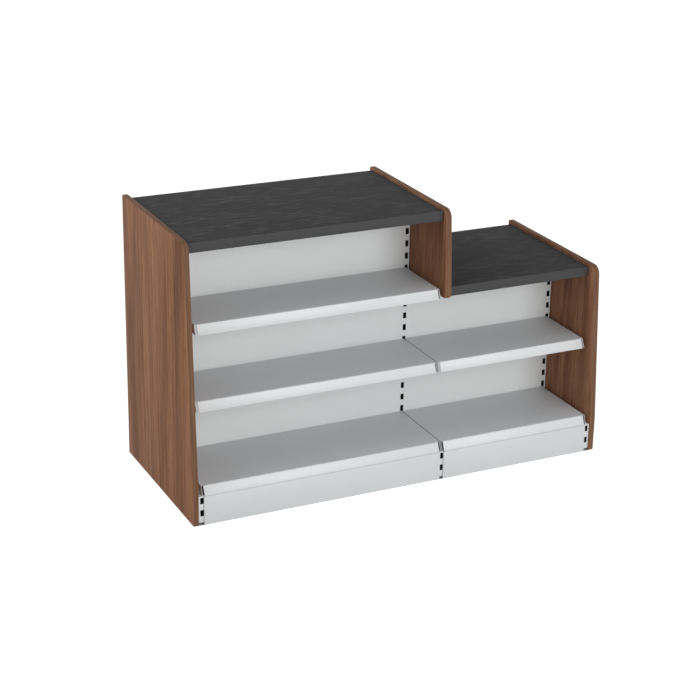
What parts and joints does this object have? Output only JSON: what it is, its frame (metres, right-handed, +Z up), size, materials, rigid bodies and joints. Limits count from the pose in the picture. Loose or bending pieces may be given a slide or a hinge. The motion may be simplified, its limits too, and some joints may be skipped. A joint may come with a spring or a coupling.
{
  "type": "shop counter",
  "caption": "Stepped shop counter with slotted shelving posts, lift-off tray shelves with ticket rails, dark laminate tops and walnut-look end panels.",
  "frame": {"origin": "on the floor, under the middle of the counter's bounding box", "axes": "+X along the counter from the high bay to the low bay, +Y from the shelf front to the open rear, +Z up"},
  "size_m": [1.7376, 0.718, 1.079],
  "materials": {
    "walnut_laminate": "walnut-look laminate on board, satin, upright grain",
    "charcoal_laminate": "dark grey laminate on board, matt",
    "grey_steel": "grey powder coat on sheet steel",
    "light_steel": "light grey powder coat on steel",
    "white_plastic": "smooth white extrusion",
    "galvanised_steel": "galvanised box section",
    "black_plastic": "black moulded foot"
  },
  "bodies": {
    "frame": {"end_panel_left": "walnut_laminate", "end_panel_right": "walnut_laminate", "step_panel": "walnut_laminate", "counter_top_high": "charcoal_laminate", "counter_top_low": "charcoal_laminate", "bearer_high_left": "galvanised_steel", "bearer_high_middle": "galvanised_steel", "bearer_high_right": "galvanised_steel", "bearer_low_left": "galvanised_steel", "bearer_low_right": "galvanised_steel", "upright_left": "light_steel", "upright_middle": "light_steel", "upright_right": "light_steel", "front_leg_left": "light_steel", "front_leg_middle": "light_steel", "front_leg_right": "light_steel", "rear_leg_left": "light_steel", "rear_leg_middle": "light_steel", "rear_leg_right": "light_steel", "tie_top_left": "galvanised_steel", "tie_top_right": "galvanised_steel", "tie_bottom_left": "galvanised_steel", "tie_bottom_right": "galvanised_steel", "back_panel_left_lower": "light_steel", "back_panel_left_middle": "light_steel", "back_panel_left_upper": "light_steel", "back_panel_right_lower": "light_steel", "back_panel_right_middle": "light_steel"},
    "upper_left_brackets": {"bracket_upper_left_a": "grey_steel", "bracket_upper_left_b": "grey_steel"},
    "middle_left_brackets": {"bracket_middle_left_a": "grey_steel", "bracket_middle_left_b": "grey_steel"},
    "middle_right_brackets": {"bracket_middle_right_a": "grey_steel", "bracket_middle_right_b": "grey_steel"},
    "upper_left_tray": {"tray_upper_left": "grey_steel", "ticket_rail_upper_left": "white_plastic"},
    "middle_left_tray": {"tray_middle_left": "grey_steel", "ticket_rail_middle_left": "white_plastic"},
    "middle_right_tray": {"tray_middle_right": "grey_steel", "ticket_rail_middle_right": "white_plastic"},
    "base_left_tray": {"tray_base_left": "grey_steel", "ticket_rail_base_left": "white_plastic"},
    "base_right_tray": {"tray_base_right": "grey_steel", "ticket_rail_base_right": "white_plastic"},
    "left_plinth": {"plinth_left": "light_steel"},
    "right_plinth": {"plinth_right": "light_steel"},
    "foot_front_left": {"front_foot_left": "black_plastic"},
    "foot_front_middle": {"front_foot_middle": "black_plastic"},
    "foot_front_right": {"front_foot_right": "black_plastic"},
    "foot_rear_left": {"rear_foot_left": "black_plastic"},
    "foot_rear_middle": {"rear_foot_middle": "black_plastic"},
    "foot_rear_right": {"rear_foot_right": "black_plastic"}
  },
  "joints": [
    {"name": "upper_left_unhook", "type": "slide", "parent": "frame", "child": "upper_left_brackets", "axis": [0, 0, 1], "range_m": [0, 0.011]},
    {"name": "middle_left_unhook", "type": "slide", "parent": "frame", "child": "middle_left_brackets", "axis": [0, 0, 1], "range_m": [0, 0.011]},
    {"name": "middle_right_unhook", "type": "slide", "parent": "frame", "child": "middle_right_brackets", "axis": [0, 0, 1], "range_m": [0, 0.011]},
    {"name": "upper_left_lift", "type": "slide", "parent": "upper_left_brackets", "child": "upper_left_tray", "axis": [0, 0, 1], "range_m": [0, 0.08]},
    {"name": "middle_left_lift", "type": "slide", "parent": "middle_left_brackets", "child": "middle_left_tray", "axis": [0, 0, 1], "range_m": [0, 0.08]},
    {"name": "middle_right_lift", "type": "slide", "parent": "middle_right_brackets", "child": "middle_right_tray", "axis": [0, 0, 1], "range_m": [0, 0.08]},
    {"name": "base_left_lift", "type": "slide", "parent": "frame", "child": "base_left_tray", "axis": [0, 0, 1], "range_m": [0, 0.08]},
    {"name": "base_right_lift", "type": "slide", "parent": "frame", "child": "base_right_tray", "axis": [0, 0, 1], "range_m": [0, 0.08]},
    {"name": "left_plinth_pull", "type": "slide", "parent": "frame", "child": "left_plinth", "axis": [0, -1, 0], "range_m": [0, 0.06]},
    {"name": "right_plinth_pull", "type": "slide", "parent": "frame", "child": "right_plinth", "axis": [0, -1, 0], "range_m": [0, 0.06]},
    {"name": "foot_front_left_screw", "type": "slide", "parent": "frame", "child": "foot_front_left", "axis": [0, 0, 1], "range_m": [-0.015, 0]},
    {"name": "foot_front_middle_screw", "type": "slide", "parent": "frame", "child": "foot_front_middle", "axis": [0, 0, 1], "range_m": [-0.015, 0]},
    {"name": "foot_front_right_screw", "type": "slide", "parent": "frame", "child": "foot_front_right", "axis": [0, 0, 1], "range_m": [-0.015, 0]},
    {"name": "foot_rear_left_screw", "type": "slide", "parent": "frame", "child": "foot_rear_left", "axis": [0, 0, 1], "range_m": [-0.015, 0]},
    {"name": "foot_rear_middle_screw", "type": "slide", "parent": "frame", "child": "foot_rear_middle", "axis": [0, 0, 1], "range_m": [-0.015, 0]},
    {"name": "foot_rear_right_screw", "type": "slide", "parent": "frame", "child": "foot_rear_right", "axis": [0, 0, 1], "range_m": [-0.015, 0]}
  ]
}
